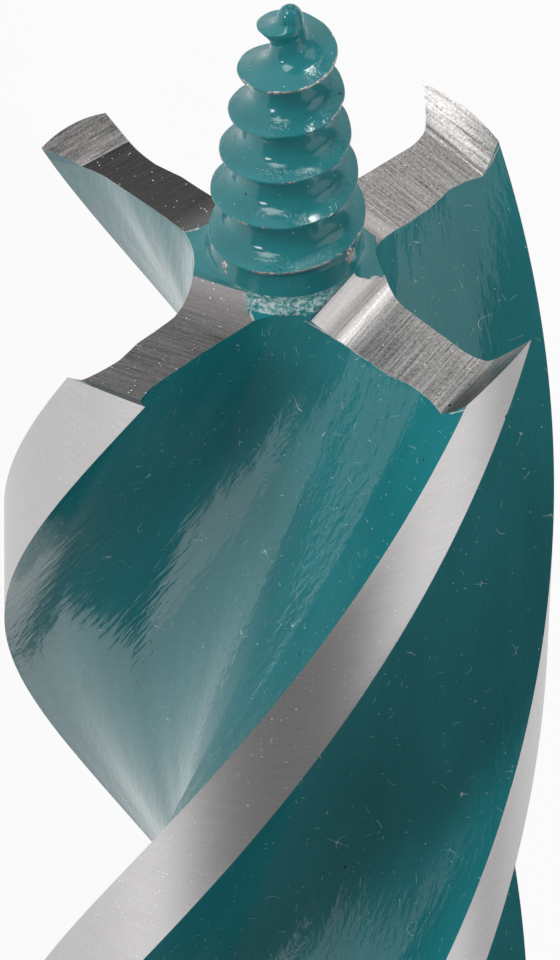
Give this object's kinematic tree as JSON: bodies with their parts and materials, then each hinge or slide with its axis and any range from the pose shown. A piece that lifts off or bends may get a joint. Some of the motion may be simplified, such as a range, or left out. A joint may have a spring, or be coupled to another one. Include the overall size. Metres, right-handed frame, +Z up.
{
  "type": "wood drill bit",
  "caption": "Fluted wood drill bit with a tapered lead screw, winged cutting edges with rim spurs, right-hand spiral flutes, a round shank and a hexagonal end.",
  "frame": {"origin": "centre of the bounding box's lowest face, where the bit lies on a floor", "axes": "+X along the bit towards its lead screw, which points 3.4 degrees above level, and +Z up"},
  "size_m": [0.16, 0.02, 0.0217],
  "materials": {
    "painted_steel": "glossy teal paint on steel, ground bright on the flanks, lands and hexagonal end"
  },
  "bodies": {
    "root": {"wood_drill_bit": "painted_steel"}
  },
  "joints": []
}
